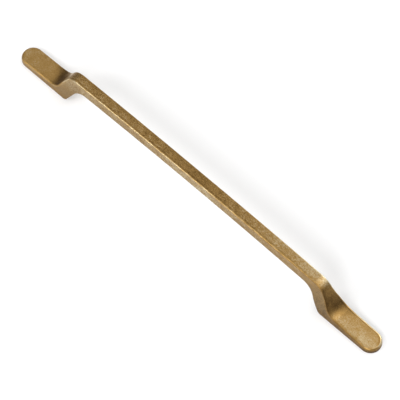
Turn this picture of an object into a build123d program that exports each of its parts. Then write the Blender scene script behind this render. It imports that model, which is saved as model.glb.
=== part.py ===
from build123d import *
import math
import os

# Furniture handle, cast in brass as one piece.
# X runs along the bar, Z points away from the furniture and Z = 0 is the face that is screwed down.

# Length, given by the two screws and what stands out beyond them
hole_spacing = 320.0
tip_overhang = 40.0
# Foot: a tongue with a round tip that thickens towards the riser
foot_width = 18.8
tip_thickness = 5.3
root_thickness = 8.1
# Riser: the sloping leg between foot and bar, set back from the screw
root_setback = 5.2
outer_run = 14.9
heel_setback = 16.9
inner_run = 13.0
# Bar: slightly arched along its length
bar_width = 9.8
bar_height = 32.5
bar_depth = 9.7
bar_crown = 2.2
# Bends of the side profile
root_radius = 13.0
shoulder_radius = 14.0
throat_radius = 15.0
heel_radius = 4.0
# Wall: upright at the foot, then narrowing to the bar in a slow S of two equal arcs
upright_wall = 1.0
# Rounded edges
top_edge_radius = 1.1
lower_edge_radius = 0.7
# Blind screw holes, drilled for an M4 thread
tap_drill_diameter = 3.3
tapped_depth = 5.0
lead_in = 0.35
drill_point_angle = 118.0

hole_x = hole_spacing / 2
tip_x = hole_x + tip_overhang
tip_centre_x = tip_x - foot_width / 2
root_x = hole_x - root_setback
shoulder_x = root_x - outer_run
heel_x = hole_x - heel_setback
throat_x = heel_x - inner_run
throat_height = bar_height - bar_depth
crown_height = bar_height + bar_crown
envelope_top = crown_height + bar_depth
half_foot = foot_width / 2
half_bar = bar_width / 2
flare_middle = ((half_foot + half_bar) / 2, (upright_wall + bar_height) / 2)
tap_radius = tap_drill_diameter / 2
drill_point = tap_radius / math.tan(math.radians(drill_point_angle / 2))
same_place = 0.01


def bends_at(sketch, x):
    return sketch.vertices().filter_by(lambda corner: abs(abs(corner.X) - x) < same_place)


# Blank with the side profile: one half drawn from the middle of the bar to the tip and back, then mirrored
with BuildPart() as side_blank:
    with BuildSketch(Plane.XZ) as side_profile:
        with BuildLine():
            TangentArc((0, crown_height), (shoulder_x, bar_height), tangent=(1, 0))
            Polyline(
                (shoulder_x, bar_height),
                (root_x, root_thickness),
                (tip_x, tip_thickness),
                (tip_x, 0),
                (heel_x, 0),
                (throat_x, throat_height),
            )
            TangentArc((0, throat_height + bar_crown), (throat_x, throat_height), tangent=(1, 0))
            mirror(about=Plane.YZ)
        make_face()
        fillet(bends_at(side_profile, root_x), root_radius)
        fillet(bends_at(side_profile, shoulder_x), shoulder_radius)
        fillet(bends_at(side_profile, throat_x), throat_radius)
        fillet(bends_at(side_profile, heel_x), heel_radius)
    extrude(amount=foot_width, both=True)

# Half of the end view, with room above and below the handle for a clean trim
with BuildSketch(Plane.XZ) as half_end_view:
    with BuildLine():
        Polyline((half_foot, upright_wall), (half_foot, -bar_depth), (0, -bar_depth), (0, envelope_top))
        Polyline((0, envelope_top), (half_bar, envelope_top), (half_bar, bar_height))
        TangentArc((half_foot, upright_wall), flare_middle, tangent=(0, 1))
        TangentArc((half_bar, bar_height), flare_middle, tangent=(0, -1))
    make_face()

# Flared envelope: the end view carried along X and turned half round about the axis of each tip
with BuildPart() as envelope:
    with BuildSketch(Plane.YZ):
        add(half_end_view.sketch_local)
        mirror(about=Plane.YZ)
    extrude(amount=tip_centre_x, both=True)
    right_tip = Location((tip_centre_x, 0, 0), (0, 0, -90))
    left_tip = Location((-tip_centre_x, 0, 0), (0, 0, 90))
    with Locations(left_tip, right_tip):
        add(revolve(half_end_view.sketch, axis=Axis.Z, revolution_arc=180, mode=Mode.PRIVATE))

# One screw hole: lead-in at the mouth, straight wall for the thread and the cone left by the drill
with BuildPart() as screw_hole:
    with BuildSketch(Plane.XZ):
        with BuildLine():
            Polyline(
                (0, 0),
                (tap_radius + lead_in, 0),
                (tap_radius, lead_in),
                (tap_radius, tapped_depth),
                (0, tapped_depth + drill_point),
                close=True,
            )
        make_face()
    revolve(axis=Axis.Z)

# The casting: what blank and envelope share, with the rims rounded and the back drilled
with BuildPart() as handle:
    add(side_blank.part)
    add(envelope.part, mode=Mode.INTERSECT)
    rims = edges_to_wires(new_edges(side_blank.part, envelope.part, combined=handle.part))
    lower_rim, top_rim = rims.sort_by(lambda rim: rim.bounding_box().max.Z)
    fillet(top_rim.edges(), top_edge_radius)
    fillet(lower_rim.edges(), lower_edge_radius)
    with Locations((-hole_x, 0, 0), (hole_x, 0, 0)):
        add(screw_hole.part, mode=Mode.SUBTRACT)

handle.part.label = "handle"
os.makedirs("parts", exist_ok=True)
export_step(handle.part, "parts/handle.step")
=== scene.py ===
import math

import bpy
import bmesh
import numpy as np
from mathutils import Matrix, Vector


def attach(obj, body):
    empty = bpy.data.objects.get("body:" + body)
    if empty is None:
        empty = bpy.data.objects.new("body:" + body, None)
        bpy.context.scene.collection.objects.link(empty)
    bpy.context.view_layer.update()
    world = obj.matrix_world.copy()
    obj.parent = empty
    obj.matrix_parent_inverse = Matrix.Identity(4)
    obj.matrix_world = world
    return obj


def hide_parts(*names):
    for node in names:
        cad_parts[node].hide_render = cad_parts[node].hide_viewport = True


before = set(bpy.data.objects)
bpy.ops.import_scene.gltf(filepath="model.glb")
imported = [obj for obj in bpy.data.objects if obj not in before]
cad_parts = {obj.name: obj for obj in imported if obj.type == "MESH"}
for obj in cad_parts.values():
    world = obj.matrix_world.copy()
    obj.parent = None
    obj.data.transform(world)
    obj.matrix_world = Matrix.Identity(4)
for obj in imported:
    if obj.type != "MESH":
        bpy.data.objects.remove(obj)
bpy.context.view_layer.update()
print("frame loaded, nodes:", sorted(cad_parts))


# the casting, in millimetres: the drawing's sizes, how it was dressed and worn, how finely it is sampled
casting = {
    "holeSpacing": 320.0,
    "tipOverhang": 39.96,     # drawn 40, kept just inside the facets of the CAD tip
    "footWidth": 18.8,
    "tipThickness": 5.3,
    "rootThickness": 8.1,
    "rootSetback": 5.2,
    "outerRun": 14.9,
    "heelSetback": 16.9,
    "innerRun": 13.0,
    "barWidth": 9.8,
    "barHeight": 32.5,
    "barDepth": 9.7,
    "barCrown": 2.2,
    "rootRadius": 13.0,
    "shoulderRadius": 14.0,
    "throatRadius": 15.0,
    "heelRadius": 4.0,
    "uprightWall": 1.0,
    "topEdge": 1.1,
    "lowerEdge": 0.7,
    # top edge, dressed by hand: shares added to its rounding all along, on the risers and on the feet
    "edgeUnevenness": 0.05,
    "edgeWaves": ((9.1, 1.0, 1.0), (23.7, 1.0, 2.1), (4.3, 0.6, -1.0)),  # length per radian, strength, shift by side
    "riserEdge": -0.2,
    "riserMiddle": 19.0,      # up from the middle of the root
    "riserReach": 15.0,
    "footEdge": (0.45, 0.8),  # left foot, right foot
    "footReach": 12.0,        # out from the middle of the root
    # oxide in the root: its middle, reach up the riser, reach along the foot, how far it leans to the far side
    "hollowLeft": (0.5, 11.0, 5.5, 5.0),
    "hollowRight": (-6.0, 17.0, 9.0, 6.0),
    "swellDepth": 0.05,       # slow swells left by dressing the casting
    "swellLengths": (7.0, 30.0),
    "swellWaves": 28,
    "swellClear": 2.0,        # height above the back at which the swells are full
    "seed": 11,
    "sharpAngle": 38.0,       # degrees between two faces past which the shading breaks
    "stations": {"bar": 150, "bend": 20, "riser": 28, "root": 18, "foot": 40, "tip": 24},
    "loop": {"top": 9, "topEdge": 8, "wall": 16, "lowerEdge": 4, "bottom": 6},
}


def halfWidthAt(z, p):
    # half width by height: an arc leaving the upright foot wall and an equal arc arriving at the bar, tangent midway
    rise = (p["barHeight"] - p["uprightWall"]) / 2
    step = (p["footWidth"] - p["barWidth"]) / 4
    radius = (rise ** 2 + step ** 2) / (2 * step)
    climbed = np.clip(z - p["uprightWall"], 0, rise)
    left = np.clip(p["barHeight"] - z, 0, rise)
    low = p["footWidth"] / 2 - radius + np.sqrt(radius ** 2 - climbed ** 2)
    high = p["barWidth"] / 2 + radius - np.sqrt(radius ** 2 - left ** 2)
    return np.where(z < p["uprightWall"] + rise, low, high)


def arcPoints(centre, start, end, count):
    # points at equal turns from start to end about a centre, the start left out
    a = np.arctan2(*(start - centre)[::-1])
    b = np.arctan2(*(end - centre)[::-1])
    turn = (b - a + np.pi) % (2 * np.pi) - np.pi
    angle = a + turn * np.linspace(0, 1, count + 1)[1:]
    return centre + np.linalg.norm(start - centre) * np.stack([np.cos(angle), np.sin(angle)], 1)


def linePoints(start, end, count):
    # points at equal steps from start to end, the start left out
    return start + (end - start) * np.linspace(0, 1, count + 1)[1:, None]


def halfProfile(apexHeight, corner, foot, end, bendRadius, footRadius, counts):
    # half of a side profile from the middle of the bar to the tip: crown arc, bend, riser, foot bend, foot line
    corner, foot, end = (np.array(point, float) for point in (corner, foot, end))
    apex = np.array([0.0, apexHeight])
    drop = apexHeight - corner[1]
    crownRadius = (corner[0] ** 2 + drop ** 2) / (2 * drop)
    crownCentre = np.array([0.0, apexHeight - crownRadius])
    down = (foot - corner) / np.linalg.norm(foot - corner)
    inward = np.array([down[1], -down[0]])
    # the bend touches the crown arc from inside and the riser: slide along the riser until it does
    reach = corner + bendRadius * inward - crownCentre
    along = reach @ down
    slide = -along - np.sqrt(along ** 2 - reach @ reach + (crownRadius - bendRadius) ** 2)
    bendEnd = corner + slide * down
    bendCentre = bendEnd + bendRadius * inward
    bendStart = crownCentre + (bendCentre - crownCentre) * crownRadius / (crownRadius - bendRadius)
    out = (end - foot) / np.linalg.norm(end - foot)
    tangent = footRadius * math.tan(math.acos(np.clip(down @ out, -1, 1)) / 2)
    rootStart, rootEnd = foot - tangent * down, foot + tangent * out
    return np.vstack([
        apex,
        arcPoints(crownCentre, apex, bendStart, counts["bar"]),
        arcPoints(bendCentre, bendStart, bendEnd, counts["bend"]),
        linePoints(bendEnd, rootStart, counts["riser"]),
        arcPoints(rootStart - footRadius * inward, rootStart, rootEnd, counts["root"]),
        linePoints(rootEnd, end, counts["foot"]),
    ])


def swellAt(points, p):
    # sum of sine waves of random direction and length, scaled to lie between 0 and 1
    waves = p["swellWaves"]
    draw = np.random.default_rng(p["seed"])
    direction = draw.normal(size=(waves, 3))
    direction /= np.linalg.norm(direction, axis=1)[:, None]
    length = np.exp(draw.uniform(*np.log(p["swellLengths"]), waves))
    phase = draw.uniform(0, 2 * np.pi, waves)
    total = np.sin(points @ (direction * 2 * np.pi / length[:, None]).T + phase).sum(-1)
    return np.clip(0.5 + total / (2 * np.sqrt(waves)), 0, 1)


def gridMesh(name, points, maps, weld=1e-7):
    # quads between neighbouring rows and columns; the columns close on themselves, collapsed end rows are welded
    rows, columns = points.shape[:2]
    index = np.arange(rows * columns).reshape(rows, columns)
    ahead = np.roll(index, -1, 1)
    quads = np.stack([index[:-1], ahead[:-1], ahead[1:], index[1:]], -1).reshape(-1, 4)
    mesh = bpy.data.meshes.new(name)
    mesh.from_pydata(points.reshape(-1, 3).tolist(), [], quads.tolist())
    for mapName, values in maps.items():
        layer = mesh.uv_layers.new(name=mapName)
        layer.data.foreach_set("uv", values.reshape(-1, 2)[quads.ravel()].astype(np.float32).ravel())
    shape = bmesh.new()
    shape.from_mesh(mesh)
    bmesh.ops.remove_doubles(shape, verts=shape.verts, dist=weld)
    bmesh.ops.recalc_face_normals(shape, faces=shape.faces)
    shape.to_mesh(mesh)
    shape.free()
    return mesh


def castingSurface(p):
    # a section carried along the handle: each station joins a point of the top profile to one of the lower profile,
    # its walls follow the half width by height, and at the tips the stations fan out about the tip's upright axis
    holeX = p["holeSpacing"] / 2
    tipX = holeX + p["tipOverhang"]
    tipCentre = tipX - p["footWidth"] / 2
    rootX, heelX = holeX - p["rootSetback"], holeX - p["heelSetback"]
    shoulderX, throatX = rootX - p["outerRun"], heelX - p["innerRun"]
    throatHeight = p["barHeight"] - p["barDepth"]
    slope = (p["tipThickness"] - p["rootThickness"]) / (tipX - rootX)
    tipCentreHeight = p["tipThickness"] + slope * (tipCentre - tipX)
    count = p["stations"]
    top = halfProfile(p["barHeight"] + p["barCrown"], (shoulderX, p["barHeight"]), (rootX, p["rootThickness"]),
                      (tipCentre, tipCentreHeight), p["shoulderRadius"], p["rootRadius"], count)
    low = halfProfile(throatHeight + p["barCrown"], (throatX, throatHeight), (heelX, 0.0),
                      (tipCentre, 0.0), p["throatRadius"], p["heelRadius"], count)
    # how squarely each section line meets the two profiles, to keep the edge roundings round
    across = (top - low) / np.linalg.norm(top - low, axis=1)[:, None]
    topRun, lowRun = np.gradient(top, axis=0), np.gradient(low, axis=0)
    squareTop = np.abs(across[:, 0] * topRun[:, 1] - across[:, 1] * topRun[:, 0]) / np.linalg.norm(topRun, axis=1)
    squareLow = np.abs(across[:, 0] * lowRun[:, 1] - across[:, 1] * lowRun[:, 0]) / np.linalg.norm(lowRun, axis=1)
    # the fan at the tip repeats the last station at turns up to a right angle
    fan = np.linspace(0, np.pi / 2, count["tip"] + 1)[1:]
    turn = np.concatenate([np.zeros(len(top)), fan])
    keep = np.concatenate([np.arange(len(top)), np.full(len(fan), len(top) - 1)])
    path = np.concatenate([[0], np.cumsum(np.linalg.norm(np.diff(top, axis=0), axis=1))])
    path = np.concatenate([path, path[-1] + p["footWidth"] / 2 * np.sin(fan)])
    rootMiddle = path[count["bar"] + count["bend"] + count["riser"] + count["root"] // 2]
    # both halves, left tip to right tip
    order = np.concatenate([np.arange(len(turn))[:0:-1], np.arange(len(turn))])
    side = np.concatenate([-np.ones(len(turn) - 1), np.ones(len(turn))])
    top, low = top[keep][order], low[keep][order]
    squareTop, squareLow = squareTop[keep][order][:, None], squareLow[keep][order][:, None]
    turn, path, side = turn[order][:, None], path[order][:, None], side[:, None]
    # half of a section from the middle of the top to the middle of the bottom, as shares of its sizes
    n = p["loop"]
    zeros = lambda *parts: np.zeros(sum(n[part] for part in parts))
    ones = lambda *parts: np.ones(sum(n[part] for part in parts))
    topTurn = np.linspace(0, np.pi / 2, n["topEdge"] + 1)[1:]
    lowTurn = np.linspace(0, np.pi / 2, n["lowerEdge"] + 1)[1:]
    wallShare = np.linspace(0, 1, n["wall"] + 1)[1:]
    eighth = np.pi / 4
    lateral = np.concatenate([np.sin(np.linspace(0, np.pi / 2, n["top"] + 1)), ones("topEdge", "wall", "lowerEdge"),
                              np.linspace(1, 0, n["bottom"] + 1)[1:]])
    insetTop = np.concatenate([[1.0], ones("top"), 1 - np.sin(topTurn), zeros("wall", "lowerEdge", "bottom")])
    insetLow = np.concatenate([[0.0], zeros("top", "topEdge", "wall"), 1 - np.cos(lowTurn), ones("bottom")])
    depthTop = np.concatenate([[0.0], zeros("top"), 1 - np.cos(topTurn), ones("wall", "lowerEdge", "bottom")])
    depthWall = np.concatenate([[0.0], zeros("top", "topEdge"), wallShare, ones("lowerEdge", "bottom")])
    depthLow = np.concatenate([[0.0], zeros("top", "topEdge", "wall"), np.sin(lowTurn), ones("bottom")])
    edgeTurn = np.concatenate([[eighth], ones("top") * eighth, eighth - topTurn,
                               ones("wall", "lowerEdge", "bottom") * -eighth])
    # the near half and, without the two points that they share, the far half
    both = lambda half: np.concatenate([half, half[-2:0:-1]])[None, :]
    near = np.concatenate([-np.ones(len(lateral)), np.ones(len(lateral) - 2)])[None, :]
    lateral, insetTop, insetLow, edgeTurn = both(lateral), both(insetTop), both(insetLow), both(edgeTurn)
    depthTop, depthWall, depthLow = both(depthTop), both(depthWall), both(depthLow)
    # top edge radius wanders slowly along the handle, differently on the two sides
    signedPath = path * side
    sideways = near * np.cos(turn)
    wander = sum(strength * np.sin(signedPath / length + shift * sideways)
                 for length, strength, shift in p["edgeWaves"])
    fromRoot = path - rootMiddle
    onRiser = np.exp(-((fromRoot + p["riserMiddle"]) / p["riserReach"]) ** 4)
    onFoot = np.clip(fromRoot / p["footReach"], 0, 1) ** 2
    footEdge = np.where(side < 0, *p["footEdge"])
    rounding = 1 + p["edgeUnevenness"] * wander / 2 + p["riserEdge"] * onRiser + footEdge * onFoot
    edge = p["topEdge"] * rounding
    edgeLow = p["lowerEdge"]
    # points: down the section line by depth, out from it by the half width less the roundings
    fallAtRim = slope * p["footWidth"] / 2 * np.sin(turn)
    length = np.hypot(top[:, :1] - low[:, :1], top[:, 1:] + fallAtRim - low[:, 1:])
    wall = length - edge / squareTop - edgeLow / squareLow
    depth = depthTop * edge / squareTop + depthWall * wall + depthLow * edgeLow / squareLow
    share = depth / length
    z = (top[:, 1:] + fallAtRim) * (1 - share) + low[:, 1:] * share
    reach = halfWidthAt(z, p) - insetTop * edge - insetLow * edgeLow
    x = top[:, :1] * (1 - share) + low[:, :1] * share + reach * np.sin(turn)
    y = near * reach * np.cos(turn) * lateral
    z = (top[:, 1:] + slope * reach * np.sin(turn)) * (1 - share) + low[:, 1:] * share
    points = np.stack([x * side, y, z], -1)
    # swells, pressed in along the surface's own normal and left out on the flat back and at the tips
    along, around = np.gradient(points, axis=0), np.roll(points, -1, 1) - np.roll(points, 1, 1)
    normal = np.cross(along, around)
    notZero = 1e-9
    normal /= np.maximum(np.linalg.norm(normal, axis=-1, keepdims=True), notZero)
    outward = np.sign((normal * (points - points.mean(1, keepdims=True))).sum(-1).mean())
    offBack = np.clip(points[..., 2:] / p["swellClear"], 0, 1) * np.cos(turn)[..., None]
    points = points - outward * normal * p["swellDepth"] * offBack * swellAt(points, p)[..., None]
    points[..., 2] = np.maximum(points[..., 2], 0)
    # map of the edges: distance in from the top edge, in millimetres, down the wall counted negative
    flat = np.where(depthTop == 0, reach - np.hypot(reach * np.sin(turn), y), 0)
    pastEdge = edgeTurn * edge - depthWall * wall - depthLow * edgeLow + flat
    # map of the path: distance from the middle of the bar, and how deep in the hollow between foot and riser
    centre, up, down, lean = (np.where(side < 0, *pair) for pair in zip(p["hollowLeft"], p["hollowRight"]))
    fromHollow = fromRoot - centre - lean * near * lateral
    hollow = np.exp(-(fromHollow / np.where(fromHollow < 0, up, down)) ** 2) + 0 * x
    maps = {"edgeMap": np.stack([pastEdge, 0 * x], -1), "pathMap": np.stack([signedPath + 0 * x, hollow], -1)}
    return points / 1000, maps


# the blind holes in the back, tapped M4, in millimetres
screwHole = {
    "tapRadius": 1.65,
    "majorRadius": 2.0,
    "pitch": 0.7,
    "flankAngle": 30.0,       # degrees
    "grooveFlat": 1 / 8,      # share of the pitch that is flat at the bottom of the groove
    "tappedDepth": 5.0,
    "leadIn": 0.35,
    "drillPointAngle": 118.0,
    "clearBelow": 1.0,        # how far below the back the cut starts
    "around": 40,
    "rowsPerPitch": 10,
    "pastEdge": 20.0,         # what the maps say of the hole: far from a worn edge,
    "oxide": 0.8,             # and about as dark as the hollow of a root
}


def screwHoleSurface(p, atX):
    # a lathe shape whose radius follows the thread: a trapezoid of flats and 60 degree flanks, shifted by the turn
    point = p["tapRadius"] / math.tan(math.radians(p["drillPointAngle"] / 2))
    rows = int(p["tappedDepth"] / p["pitch"] * p["rowsPerPitch"])
    start, end = [-p["clearBelow"]] * 2, [p["tappedDepth"] + point]
    z = np.concatenate([start, np.linspace(0, p["tappedDepth"], rows), end])[:, None]
    theta = np.linspace(0, 2 * np.pi, p["around"], endpoint=False)[None, :]
    height = p["majorRadius"] - p["tapRadius"]
    flank = height * math.tan(math.radians(p["flankAngle"]))
    halfFlat = p["pitch"] * p["grooveFlat"] / 2
    offset = np.abs((z / p["pitch"] - theta / (2 * np.pi)) % 1 - 0.5) * p["pitch"]
    groove = height * np.clip((halfFlat + flank - offset) / flank, 0, 1)
    groove = groove * np.clip((p["tappedDepth"] - z) / p["pitch"], 0, 1)
    mouth = p["leadIn"] - np.clip(z, 0, p["leadIn"])
    radius = p["tapRadius"] + np.maximum(groove, mouth)
    radius[[0, -1]] = 0
    points = np.stack([atX + radius * np.cos(theta), radius * np.sin(theta), z + 0 * theta], -1)
    pairs = points.shape[:2] + (2,)
    maps = {"edgeMap": np.broadcast_to([p["pastEdge"], 0.0], pairs),
            "pathMap": np.broadcast_to([0.0, p["oxide"]], pairs)}
    return points / 1000, maps


def makeHandle():
    # the casting with a threaded hole cut into the back of each foot
    handle = bpy.data.objects.new("brass_handle", gridMesh("brass_handle", *castingSurface(casting)))
    bpy.context.scene.collection.objects.link(handle)
    holeX = casting["holeSpacing"] / 2
    drills = []
    for atX in (-holeX, holeX):
        drill = bpy.data.objects.new("drill", gridMesh("drill", *screwHoleSurface(screwHole, atX)))
        bpy.context.scene.collection.objects.link(drill)
        cut = handle.modifiers.new("screwHole", "BOOLEAN")
        cut.operation, cut.solver, cut.object = "DIFFERENCE", "EXACT", drill
        drills.append(drill)
    bpy.context.view_layer.update()
    drilled = bpy.data.meshes.new_from_object(handle.evaluated_get(bpy.context.evaluated_depsgraph_get()))
    handle.modifiers.clear()
    handle.data = drilled
    for drill in drills:
        bpy.data.objects.remove(drill)
    drilled.polygons.foreach_set("use_smooth", np.ones(len(drilled.polygons), bool))
    drilled.set_sharp_from_angle(angle=math.radians(casting["sharpAngle"]))
    print("casting:", len(drilled.vertices), "points,", len(drilled.polygons), "faces")
    return handle


def linear(hexColour):
    # sRGB hex text to a linear colour, by the standard curve
    channel = np.array([int(hexColour[i:i + 2], 16) for i in (1, 3, 5)]) / 255
    channel = np.where(channel <= 0.04045, channel / 12.92, ((channel + 0.055) / 1.055) ** 2.4)
    return (*channel.tolist(), 1.0)


def perMetre(millimetres):
    # texture scale of a pattern that repeats about every so many millimetres
    return 1000 / millimetres


def metres(millimetres):
    # each of several lengths in metres
    return [length / 1000 for length in millimetres]


def addNode(tree, kind, settings=None, inputs=()):
    # a node with its settings and, in the order of its sockets or by name, its values and incoming links
    node = tree.nodes.new(kind)
    for name, value in (settings or {}).items():
        setattr(node, name, value)
    for key, value in inputs.items() if isinstance(inputs, dict) else enumerate(inputs):
        if isinstance(value, bpy.types.NodeSocket):
            tree.links.new(value, node.inputs[key])
        else:
            node.inputs[key].default_value = value
    return node


# settings that several nodes share
smoothly = {"interpolation_type": "SMOOTHSTEP"}
times, timesPlus, plus = ({"operation": name} for name in ("MULTIPLY", "MULTIPLY_ADD", "ADD"))
minus, unsigned, larger = ({"operation": name} for name in ("SUBTRACT", "ABSOLUTE", "MAXIMUM"))
single = {"data_type": "FLOAT"}

# antique brass: cast, tumbled, darkened with an oxide and rubbed back, so edges are pale and hollows brown
antiqueBrass = {
    "worn": "#CDC3A4",
    "rubbed": "#A07F4A",
    "darkened": "#5A4324",
    "wallGrey": "#8A7A62",
    "rubbedStop": 0.42,       # oxide at which the colour is that of rubbed brass, between worn at 0 and darkened at 1
    "roughness": (0.36, 0.50),  # without oxide, with full oxide
    "roughGrain": 0.04,       # how far the grain swings it
    # shares of oxide: on the open faces, then what each feature adds
    "tone": 0.40,
    "mottle": 0.32,
    "streaks": 0.5,
    "speckle": 1.15,
    "hollowTone": 0.46,
    "lowShadeTone": 0.32,         # painted shade low on the walls, darker towards the floor
    "edgeTone": -0.24,
    "rimTone": 0.15,          # left just inside the rim of the top face
    "farTone": 0.12,          # left on the far half of the top, where hands rub less
    "wallGreyShare": 0.40,             # grey mixed into the walls of the risers
    # texture in millimetres: length along the handle, width, then the noise's detail and roughness
    "mottleNoise": (6.0, 6.0, 4.0, 0.6),
    "grainNoise": (1.1, 0.55, 2.0, 0.6),  # real grit is near 0.2 mm, drawn coarser so that it shows
    "streakNoise": (3.0, 0.4, 3.0, 0.55),
    "noiseSpan": (0.3, 0.7),  # where most of a noise lies
    "textureSpan": (0.40, 0.75),
    "textureSwing": (-1 / 6, 1 / 2),  # shares of a texture's amount that lighten and darken
    "mottleKept": 0.5,        # share of the mottle that stays where the texture is rubbed off
    "grainDepth": 0.03,
    "grainInPits": 0.6,       # share of the grain in the pits, next to the mottle
    "pitStrength": 0.6,
    # edge wear in millimetres, and in shares of its own width
    "edgeWidth": 1.0,
    "edgeRagged": (0.8, 1.2),
    "edgeFade": (0.2, 1.3),
    "edgeSmoothing": 0.7,     # share of the texture that is rubbed off a worn edge
    # distances in from the top edge, down the wall counted negative: from nothing to full
    "topFade": (-1.6, 0.8),
    "wallFade": (-0.6, -2.6),
    "rimInside": (2.5, 1.7),
    "rimOutside": (0.8, 1.4),
    # heights above the back: from nothing to full
    "lowShadeHeights": (30.0, 1.0),
    "greyingFoot": (4.0, 10.0),
    "greyingTop": (30.0, 22.0),
    # distances across from the middle, near side to far side
    "farSide": (-2.0, 2.0),
    "farSlant": (-5.0, 5.0),
    # distances along from the middle of the bar: from nothing to full
    "farEdgeZone": (50.0, 172.0),
    "farRimWearAndShine": 1.6,       # edge wear of the far side where that is full, and a painted highlight on the far rim
    "farRimZone": (140.0, 172.0),
    "farRimShare": 1.2,       # oxide inside the far rim where that is full
    "slantZone": (-165.0, -140.0),
    "gripMiddle": 95.0,       # rubbed evenly from side to side here
    "gripZone": (35.0, 75.0),  # each way from there
    # patina along the handle, with painted light in it: low oxide on the top at the left riser,
    # the bar's end and the right shoulder is a painted highlight, more oxide on the top in the middle
    # of the bar is partly painted shade, and the oxide on the walls partly paints the shade of what they reflect;
    # columns: millimetres from the middle of the bar, oxide added on the top and on the walls,
    # share of the texture, share of the edge wear
    "along": {
        "leftTip": (-212, -0.03, -0.17, 0.30, -0.30),
        "leftRoot": (-161, 0.08, -0.14, 0.30, -0.25),
        # painted highlight: low oxide on the top of the left riser
        "leftRiser": (-152, -0.30, -0.08, 0.40, 0.40),
        "leftShoulder": (-144, 0.11, -0.09, 1.00, 0.80),
        "barLeft": (-77, 0.12, 0.05, 1.00, 0.80),
        # partly painted shade: more oxide on the top in the middle of the bar
        "barMiddle": (10, 0.26, -0.15, 1.00, 0.95),
        "barRight": (57, 0.06, 0.04, 1.00, 0.30),
        # painted highlight: low oxide on the top from the bar's end over the right shoulder
        "barEnd": (120, -0.07, 0.00, 0.70, -0.60),
        "rightShoulder": (140, -0.19, 0.10, 0.50, -0.80),
        "rightRiser": (148, 0.01, 0.09, 0.90, -1.20),
        "rightRoot": (168, -0.03, 0.04, 0.40, -1.60),
        "rightFoot": (195, -0.05, 0.04, 0.32, -1.60),
        "rightTip": (212, -0.08, 0.24, 0.30, -0.40),
    },
}


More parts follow.
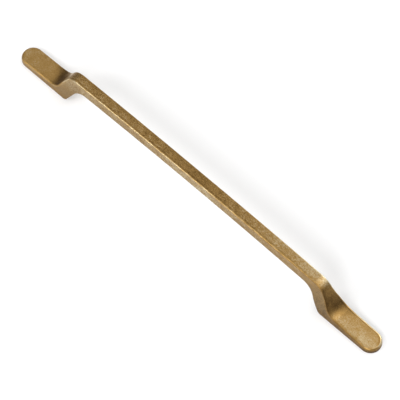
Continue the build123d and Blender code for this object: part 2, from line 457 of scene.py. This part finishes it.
def castBrass(p):
    # oxide is summed from the tone of the faces, the texture and what rims, hollows, painted shade low on the walls
    # and edges add, the tone and the far edges holding painted highlights too; it sets the colour, from pale worn
    # brass to brown, and the gloss, and the risers' walls are mixed towards grey
    material = bpy.data.materials.new("antique_brass_cast_and_rubbed")
    material.use_nodes = True
    tree = material.node_tree
    tree.nodes.clear()
    place = addNode(tree, "ShaderNodeTexCoord").outputs["Object"]
    across, height = addNode(tree, "ShaderNodeSeparateXYZ", inputs=(place,)).outputs[1:]
    edgeMap = addNode(tree, "ShaderNodeUVMap", {"uv_map": "edgeMap"}).outputs[0]
    pastEdge = addNode(tree, "ShaderNodeSeparateXYZ", inputs=(edgeMap,)).outputs[0]
    pathMap = addNode(tree, "ShaderNodeUVMap", {"uv_map": "pathMap"}).outputs[0]
    onPath, inRoot = addNode(tree, "ShaderNodeSeparateXYZ", inputs=(pathMap,)).outputs[:2]
    noises = []
    for name in ("mottleNoise", "grainNoise", "streakNoise"):
        length, width, detail, roughness = p[name]
        scale = (perMetre(length), perMetre(width), perMetre(width))
        drawn = addNode(tree, "ShaderNodeMapping", inputs={"Vector": place, "Scale": scale}).outputs[0]
        values = {"Vector": drawn, "Scale": 1.0, "Detail": detail, "Roughness": roughness}
        noises.append(addNode(tree, "ShaderNodeTexNoise", {"noise_dimensions": "3D"}, values).outputs[0])
    mottle, grain, streak = noises
    # the zones along the handle as the four channels of a colour ramp; those that can be negative are shifted by half
    zero, edgeSpan = 0.5, 4.0
    zones = list(p["along"].values())
    reach = zones[-1][0]
    share = addNode(tree, "ShaderNodeMapRange", inputs=(onPath, -reach, reach)).outputs[0]
    along = addNode(tree, "ShaderNodeValToRGB", inputs=(share,))
    for zone in zones[1:-1]:
        along.color_ramp.elements.new((zone[0] + reach) / (2 * reach))
    for stop, zone in zip(along.color_ramp.elements, zones):
        top, walls, texture, edges = zone[1:]
        stop.color = (zero + top, zero + walls, texture, zero + edges / edgeSpan)
    top, walls, texture = addNode(tree, "ShaderNodeSeparateColor", inputs=(along.outputs[0],)).outputs
    edges = addNode(tree, "ShaderNodeMath", timesPlus, (along.outputs[1], edgeSpan, -zero * edgeSpan)).outputs[0]
    # edge wear: full on the rounded top edge, its width broken up by the mottle, its strength by zone
    # on the near side and growing towards the right foot on the far side, where it is also a painted highlight
    # of the far rim; it smooths the texture
    away = addNode(tree, "ShaderNodeMath", unsigned, (pastEdge,)).outputs[0]
    widths = [ragged * p["edgeWidth"] for ragged in p["edgeRagged"]]
    width = addNode(tree, "ShaderNodeMapRange", inputs=(mottle, *p["noiseSpan"], *widths)).outputs[0]
    nearEdge = addNode(tree, "ShaderNodeMath", {"operation": "DIVIDE"}, (away, width)).outputs[0]
    rubbed = addNode(tree, "ShaderNodeMapRange", smoothly, (nearEdge, *p["edgeFade"], 1.0, 0.0)).outputs[0]
    farSide = addNode(tree, "ShaderNodeMapRange", smoothly, (across, *metres(p["farSide"]), 0.0, 1.0)).outputs[0]
    farWearAndShineRange = (onPath, *p["farEdgeZone"], 0.0, p["farRimWearAndShine"])
    farWearAndShine = addNode(tree, "ShaderNodeMapRange", smoothly, farWearAndShineRange).outputs[0]
    edges = addNode(tree, "ShaderNodeMix", single, {0: farSide, 2: edges, 3: farWearAndShine}).outputs[0]
    wear = addNode(tree, "ShaderNodeMath", times, (rubbed, edges)).outputs[0]
    smooth = addNode(tree, "ShaderNodeMath", timesPlus, (rubbed, -p["edgeSmoothing"], 1.0)).outputs[0]
    texture = addNode(tree, "ShaderNodeMath", times, (texture, smooth)).outputs[0]
    # oxide in the hollow of the root, and painted shade low on the walls, darker towards the floor
    onTop = addNode(tree, "ShaderNodeMapRange", smoothly, (pastEdge, *p["topFade"], 0.0, 1.0)).outputs[0]
    onWall = addNode(tree, "ShaderNodeMapRange", smoothly, (pastEdge, *p["wallFade"], 0.0, 1.0)).outputs[0]
    lowDown = addNode(tree, "ShaderNodeMapRange", smoothly, (height, *metres(p["lowShadeHeights"]), 0.0, 1.0)).outputs[0]
    hollow = addNode(tree, "ShaderNodeMath", times, (inRoot, onTop)).outputs[0]
    paintedLowShade = addNode(tree, "ShaderNodeMath", times, (onWall, lowDown)).outputs[0]
    # a dark band inside the rim, on the far side only at the right foot
    rimInside = addNode(tree, "ShaderNodeMapRange", smoothly, (pastEdge, *p["rimInside"], 0.0, 1.0)).outputs[0]
    rimOutside = addNode(tree, "ShaderNodeMapRange", smoothly, (pastEdge, *p["rimOutside"], 0.0, 1.0)).outputs[0]
    rim = addNode(tree, "ShaderNodeMath", times, (rimInside, rimOutside)).outputs[0]
    farRim = addNode(tree, "ShaderNodeMapRange", inputs=(onPath, *p["farRimZone"], 0.0, p["farRimShare"])).outputs[0]
    rimShare = addNode(tree, "ShaderNodeMix", single, {0: farSide, 2: texture, 3: farRim}).outputs[0]
    rim = addNode(tree, "ShaderNodeMath", times, (rim, rimShare)).outputs[0]
    # more oxide towards the far side of the top, but not on the left foot or where the bar is gripped
    slant = addNode(tree, "ShaderNodeMapRange", inputs=(across, *metres(p["farSlant"]), -0.5, 0.5)).outputs[0]
    offLeftFoot = addNode(tree, "ShaderNodeMapRange", inputs=(onPath, *p["slantZone"], 0.0, 1.0)).outputs[0]
    fromGrip = addNode(tree, "ShaderNodeMath", minus, (onPath, p["gripMiddle"])).outputs[0]
    fromGrip = addNode(tree, "ShaderNodeMath", unsigned, (fromGrip,)).outputs[0]
    offGrip = addNode(tree, "ShaderNodeMapRange", inputs=(fromGrip, *p["gripZone"], 0.0, 1.0)).outputs[0]
    for share in (offLeftFoot, offGrip, onTop):
        slant = addNode(tree, "ShaderNodeMath", times, (slant, share)).outputs[0]
    # the sum; the tone along the handle holds painted highlight and shade
    tone = addNode(tree, "ShaderNodeMix", single, {0: onTop, 2: walls, 3: top}).outputs[0]
    oxide = addNode(tree, "ShaderNodeMath", plus, (tone, p["tone"] - zero)).outputs[0]
    kept = p["mottleKept"]
    blotches = addNode(tree, "ShaderNodeMath", timesPlus, (texture, 1 - kept, kept)).outputs[0]
    textures = ((mottle, "mottle", blotches), (streak, "streaks", texture), (grain, "speckle", texture))
    for layer, name, share in textures:
        swings = [part * p[name] for part in p["textureSwing"]]
        swing = addNode(tree, "ShaderNodeMapRange", inputs=(layer, *p["textureSpan"], *swings)).outputs[0]
        oxide = addNode(tree, "ShaderNodeMath", timesPlus, (swing, share, oxide)).outputs[0]
    features = {"rimTone": rim, "farTone": slant, "hollowTone": hollow, "lowShadeTone": paintedLowShade, "edgeTone": wear}
    for name, layer in features.items():
        oxide = addNode(tree, "ShaderNodeMath", timesPlus, (layer, p[name], oxide)).outputs[0]
    # colour by oxide, mixed towards grey on the walls
    ramp = addNode(tree, "ShaderNodeValToRGB", inputs=(oxide,))
    ramp.color_ramp.elements[0].color = linear(p["worn"])
    ramp.color_ramp.elements[1].color = linear(p["darkened"])
    ramp.color_ramp.elements.new(p["rubbedStop"]).color = linear(p["rubbed"])
    greying = addNode(tree, "ShaderNodeMapRange", smoothly, (height, *metres(p["greyingFoot"]), 0.0, p["wallGreyShare"])).outputs[0]
    greyingTop = addNode(tree, "ShaderNodeMapRange", smoothly, (height, *metres(p["greyingTop"]), 0.0, 1.0)).outputs[0]
    for share in (greyingTop, onWall):
        greying = addNode(tree, "ShaderNodeMath", times, (greying, share)).outputs[0]
    layers = {0: greying, 6: ramp.outputs[0], 7: linear(p["wallGrey"])}
    colour = addNode(tree, "ShaderNodeMix", {"data_type": "RGBA"}, layers).outputs[2]
    # gloss by oxide, a little uneven with the grain, and pits of grain and mottle
    gloss = addNode(tree, "ShaderNodeMapRange", inputs=(oxide, 0.0, 1.0, *p["roughness"])).outputs[0]
    uneven = (grain, *p["noiseSpan"], -p["roughGrain"], p["roughGrain"])
    uneven = addNode(tree, "ShaderNodeMapRange", inputs=uneven).outputs[0]
    rough = addNode(tree, "ShaderNodeMath", plus, (gloss, uneven)).outputs[0]
    pits = addNode(tree, "ShaderNodeMath", timesPlus, (grain, p["grainInPits"], mottle)).outputs[0]
    strength = addNode(tree, "ShaderNodeMath", times, (smooth, p["pitStrength"])).outputs[0]
    pitted = {"Strength": strength, "Distance": p["grainDepth"] / 1000, "Height": pits}
    bump = addNode(tree, "ShaderNodeBump", inputs=pitted).outputs[0]
    surface = {"Base Color": colour, "Metallic": 1.0, "Roughness": rough, "Normal": bump}
    shader = addNode(tree, "ShaderNodeBsdfPrincipled", inputs=surface)
    addNode(tree, "ShaderNodeOutputMaterial", inputs=(shader.outputs[0],))
    return material


# studio, in metres: white paper under the handle, pale panels overhead, on the left and on the far side, a dim near
# side, a window on the near right and one on the near left, and a weak panel beside that
studio = {
    "paper": "#CBCBCB",
    # painted light: the paper glows more on the near side, which lifts the near shadow out
    "paperGlow": (0.34, 0.258),  # white that the paper shows of itself, near side and far side, so the shadow is faint
    "glowTurn": 0.010,        # each way from the middle, where one becomes the other
    "floorHalf": 4.0,
    "floorDrop": 0.0002,
    "horizon": 0.24,
    "zenith": 0.54,
    "zenithFrom": 0.9,        # height of a direction, out of 1, from which the walls are that bright
    # direction, degrees from it where the glow ends and where it is full, and what it adds
    "patches": {
        "ceiling": {"towards": (0.27, 0.33, 0.90), "fade": (32, 12), "level": 1.68},
        "leftPanel": {"towards": (-0.60, 0.35, 0.72), "fade": (17, 5), "level": 0.76},
        "farPanel": {"towards": (0.02, 0.87, 0.49), "fade": (22, 8), "level": 5.5},
        "darkNear": {"towards": (-0.35, -0.93, 0.1), "fade": (60, 25), "level": -0.14},
    },
    "lamps": {
        "window_near_right": {"place": (0.80, -1.45, 1.22), "size": (0.8, 0.8), "power": 19.0},
        "window_near_left": {"place": (-0.70, -1.45, 1.22), "size": (0.6, 0.9), "power": 16.0},
        "panel_near_left": {"place": (-1.3, -1.1, 1.15), "size": (1.3, 1.1), "power": 4.0},
    },
}


def paperFloor(p):
    # one square just under the back of the handle, in matt paper, which has no gloss and takes a soft shadow
    sides = p["floorHalf"] * np.array([(-1, -1), (1, -1), (1, 1), (-1, 1)])
    corners = np.column_stack([sides, np.full(4, -p["floorDrop"])])
    mesh = bpy.data.meshes.new("paper_floor")
    mesh.from_pydata(corners.tolist(), [], [(0, 1, 2, 3)])
    floor = bpy.data.objects.new("paper_floor", mesh)
    bpy.context.scene.collection.objects.link(floor)
    material = bpy.data.materials.new("white_paper_matt")
    material.use_nodes = True
    tree = material.node_tree
    tree.nodes.clear()
    # its own white shows to the camera and in the metal, and lights nothing
    path = addNode(tree, "ShaderNodeLightPath").outputs
    seen = addNode(tree, "ShaderNodeMath", larger, (path["Is Camera Ray"], path["Is Glossy Ray"])).outputs[0]
    seen = addNode(tree, "ShaderNodeMath", larger, (seen, path["Is Transmission Ray"])).outputs[0]
    place = addNode(tree, "ShaderNodeTexCoord").outputs["Object"]
    across = addNode(tree, "ShaderNodeSeparateXYZ", inputs=(place,)).outputs[1]
    # painted light: more glow on the near side than on the far side, which lifts the near shadow out
    nearToFar = (across, -p["glowTurn"], p["glowTurn"], *p["paperGlow"])
    glow = addNode(tree, "ShaderNodeMapRange", smoothly, nearToFar).outputs[0]
    glow = addNode(tree, "ShaderNodeMath", times, (seen, glow)).outputs[0]
    matt = addNode(tree, "ShaderNodeBsdfDiffuse", inputs={"Color": linear(p["paper"])})
    shine = addNode(tree, "ShaderNodeEmission", inputs={"Color": (1, 1, 1, 1), "Strength": glow})
    both = addNode(tree, "ShaderNodeAddShader", inputs=(matt.outputs[0], shine.outputs[0]))
    addNode(tree, "ShaderNodeOutputMaterial", inputs=(both.outputs[0],))
    mesh.materials.append(material)


def studioWalls(p):
    # light of the room by direction: dim at the horizon, brighter overhead, and a smooth glow around each patch
    world = bpy.data.worlds.new("studio_walls")
    bpy.context.scene.world = world
    world.use_nodes = True
    tree = world.node_tree
    tree.nodes.clear()
    way = addNode(tree, "ShaderNodeTexCoord").outputs["Generated"]
    height = addNode(tree, "ShaderNodeSeparateXYZ", inputs=(way,)).outputs[2]
    upwards = (height, 0.0, p["zenithFrom"], p["horizon"], p["zenith"])
    level = addNode(tree, "ShaderNodeMapRange", smoothly, upwards).outputs[0]
    for patch in p["patches"].values():
        towards = Vector(patch["towards"]).normalized()
        near = addNode(tree, "ShaderNodeVectorMath", {"operation": "DOT_PRODUCT"}, (way, towards)).outputs["Value"]
        outer, inner = (math.cos(math.radians(angle)) for angle in patch["fade"])
        glow = addNode(tree, "ShaderNodeMapRange", smoothly, (near, outer, inner, 0.0, patch["level"])).outputs[0]
        level = addNode(tree, "ShaderNodeMath", plus, (level, glow)).outputs[0]
    light = addNode(tree, "ShaderNodeBackground", inputs={"Color": (1, 1, 1, 1), "Strength": level})
    addNode(tree, "ShaderNodeOutputWorld", inputs=(light.outputs[0],))


def aim(place, target):
    # turn that looks from place to target with the image upright
    return (Vector(target) - Vector(place)).to_track_quat("-Z", "Y").to_matrix().to_4x4()


def softbox(name, p):
    # a soft rectangular lamp that looks at the middle of the handle
    light = bpy.data.lights.new(name, "AREA")
    light.shape, light.size, light.size_y, light.energy = "RECTANGLE", *p["size"], p["power"]
    lamp = bpy.data.objects.new(name, light)
    bpy.context.scene.collection.objects.link(lamp)
    lamp.matrix_world = Matrix.Translation(p["place"]) @ aim(p["place"], (0, 0, 0))


# the photo's view: degrees, metres, and pixels of its frame
view = {
    "azimuth": 44.12,
    "elevation": 60.0,
    "distance": 2.1992,
    "focalPixels": 2709.4,
    "imagePixels": 400,
    "offset": (3.40, -3.02),  # how far right of and above the origin the picture's middle lies
    "sensor": 36.0,           # millimetres
    "clipEnd": 50.0,
}


def photoCamera(p):
    # stands back from its target by the distance, turned round by azimuth and up by elevation
    az, el = math.radians(p["azimuth"]), math.radians(p["elevation"])
    back = Vector((math.sin(az) * math.cos(el), -math.cos(az) * math.cos(el), math.sin(el)))
    right = Vector((math.cos(az), math.sin(az), 0))
    up = back.cross(right)
    perPixel = p["distance"] / p["focalPixels"]
    target = right * p["offset"][0] * perPixel + up * p["offset"][1] * perPixel
    camera = bpy.data.objects.new("photo_camera", bpy.data.cameras.new("photo_camera"))
    bpy.context.scene.collection.objects.link(camera)
    camera.data.sensor_width = p["sensor"]
    camera.data.lens = p["focalPixels"] / p["imagePixels"] * p["sensor"]
    camera.data.clip_end = p["clipEnd"]
    camera.matrix_world = Matrix.Translation(target + back * p["distance"]) @ aim(back, (0, 0, 0))
    bpy.context.scene.camera = camera


handle = makeHandle()
handle.data.materials.clear()
handle.data.materials.append(castBrass(antiqueBrass))
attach(handle, "root")
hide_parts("handle")
print("handle dressed")

paperFloor(studio)
studioWalls(studio)
for lampName, lampSizes in studio["lamps"].items():
    softbox(lampName, lampSizes)
photoCamera(view)
bpy.context.scene.view_settings.view_transform = "Standard"
print("studio set")
